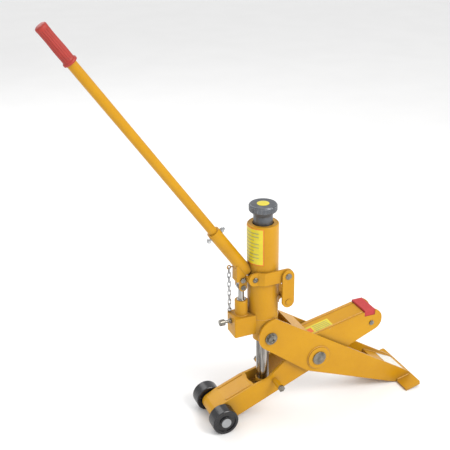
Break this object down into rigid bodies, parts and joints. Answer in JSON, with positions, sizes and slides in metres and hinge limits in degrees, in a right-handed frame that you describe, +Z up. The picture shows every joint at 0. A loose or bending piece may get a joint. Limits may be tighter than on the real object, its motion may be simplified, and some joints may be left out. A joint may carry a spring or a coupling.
{
  "type": "hydraulic toe jack",
  "caption": "Lever-pumped hydraulic jack on a scissor frame with a toe plate, two wheels, a saddle pad and a long handle with a grip.",
  "frame": {"origin": "centre of the whole jack's bounding box at floor level", "axes": "+X from the wheels towards the toe plate, +Y across the jack to its far side, +Z up"},
  "size_m": [1.042, 0.204, 1.1492],
  "materials": {
    "jack_paint": "semi-gloss yellow enamel",
    "cylinder_paint": "semi-gloss yellow enamel",
    "wheel_black": "black nylon, polished by use",
    "handle_paint": "semi-gloss yellow enamel",
    "dark_steel": "black-oxide fasteners, oiled",
    "bright_steel": "machined",
    "knob_steel": "turned dark grey",
    "ram_chrome": "polished, oiled",
    "zinc": "zinc plated",
    "cap_grey": "push-on end caps",
    "bush_bronze": "sintered bronze",
    "pad_red": "moulded, matte",
    "grip_red": "ribbed rubber grip",
    "seal_black": "seal"
  },
  "bodies": {
    "foot_arm": {"foot_arm_plate_near": "jack_paint", "foot_arm_plate_far": "jack_paint", "foot_arm_bridge": "jack_paint", "toe_deck": "jack_paint", "foot_plate": "jack_paint", "pivot_bosses": "jack_paint", "pivot_pin": "dark_steel", "pivot_nut": "dark_steel", "pivot_washers": "dark_steel"},
    "lift_arm": {"lift_arm_plate_near": "jack_paint", "lift_arm_plate_far": "jack_paint", "lift_arm_rear_deck": "jack_paint", "lift_arm_front_deck": "jack_paint", "pivot_sleeve": "jack_paint", "axle_sleeve": "jack_paint", "axle": "bright_steel", "axle_washers": "bright_steel", "axle_end_caps": "cap_grey", "ram_cradle": "jack_paint", "stop_pegs": "jack_paint", "stop_peg_bolts": "dark_steel", "saddle_block": "jack_paint", "saddle_pad": "pad_red", "saddle_pin": "dark_steel"},
    "near_wheel": {"wheel_near": "wheel_black", "wheel_bush_near": "bush_bronze"},
    "far_wheel": {"wheel_far": "wheel_black", "wheel_bush_far": "bush_bronze"},
    "jack_unit": {"pump_block": "jack_paint", "trunnion_bolts": "dark_steel", "cylinder_tube": "cylinder_paint", "pressure_tube": "bright_steel", "top_cap": "cylinder_paint", "filler_plug": "dark_steel", "link_lug": "jack_paint", "pump_barrel": "jack_paint", "pump_gland": "bright_steel", "chain_eye": "zinc", "chain": "zinc"},
    "ram": {"ram_rod": "ram_chrome", "piston": "bright_steel", "piston_seal": "seal_black", "ram_foot": "jack_paint"},
    "plunger": {"pump_plunger": "ram_chrome"},
    "lever": {"lever_bar_near": "jack_paint", "lever_bar_far": "jack_paint", "handle_socket": "jack_paint", "lever_yoke": "jack_paint", "plunger_pin": "dark_steel", "lever_bolts": "dark_steel", "yoke_bolt": "dark_steel", "fulcrum_pins": "dark_steel", "handle_tube": "handle_paint", "handle_grip": "grip_red", "handle_bolt": "zinc"},
    "swing_link": {"swing_link_near": "jack_paint", "swing_link_far": "jack_paint", "link_pin": "jack_paint"},
    "release_valve": {"valve_knob": "dark_steel"},
    "top_screw": {"top_knob": "knob_steel"}
  },
  "joints": [
    {"name": "scissor_lift", "type": "hinge", "parent": "foot_arm", "child": "lift_arm", "pos_m": [0.19204, 0, 0.1588], "axis": [0, -1, 0], "range_deg": [-33, 30]},
    {"name": "near_wheel_spin", "type": "hinge", "parent": "lift_arm", "child": "near_wheel", "pos_m": [-0.10637, -0.0616, 0.0375], "axis": [0, 1, 0], "continuous": true},
    {"name": "far_wheel_spin", "type": "hinge", "parent": "lift_arm", "child": "far_wheel", "pos_m": [-0.10637, 0.0616, 0.0375], "axis": [0, 1, 0], "continuous": true},
    {"name": "unit_tilt", "type": "hinge", "parent": "foot_arm", "child": "jack_unit", "pos_m": [0.04023, 0, 0.256], "axis": [0, -1, 0], "range_deg": [-13.5, 12.3]},
    {"name": "ram_slide", "type": "slide", "parent": "jack_unit", "child": "ram", "axis": [0.0157, 0, -0.9999], "range_m": [-0.0885, 0.0805]},
    {"name": "pump_stroke", "type": "slide", "parent": "jack_unit", "child": "plunger", "axis": [0.0157, 0, -0.9999], "range_m": [0, 0.024], "deforming": ["chain"]},
    {"name": "lever_swing", "type": "hinge", "parent": "plunger", "child": "lever", "pos_m": [-0.02936, 0, 0.411], "axis": [0, -1, 0], "range_deg": [0, 12.4]},
    {"name": "link_swing", "type": "hinge", "parent": "lever", "child": "swing_link", "pos_m": [0.08424, 0, 0.4419], "axis": [0, -1, 0], "range_deg": [-5.8, 0]},
    {"name": "release_valve_turn", "type": "hinge", "parent": "jack_unit", "child": "release_valve", "pos_m": [-0.0582, 0, 0.30846], "axis": [-0.9999, 0, -0.0157], "range_deg": [0, 360]},
    {"name": "top_screw_turn", "type": "hinge", "parent": "jack_unit", "child": "top_screw", "pos_m": [0.0326, 0, 0.58292], "axis": [-0.0157, 0, 0.9999], "range_deg": [0, 360]}
  ],
  "couplings": [
    {"joint": "unit_tilt", "follows": "scissor_lift", "ratio": 0.405},
    {"joint": "ram_slide", "follows": "scissor_lift", "m_per_rad": 0.153},
    {"joint": "lever_swing", "follows": "pump_stroke", "rad_per_m": 8.87},
    {"joint": "link_swing", "follows": "pump_stroke", "rad_per_m": -4.1}
  ]
}
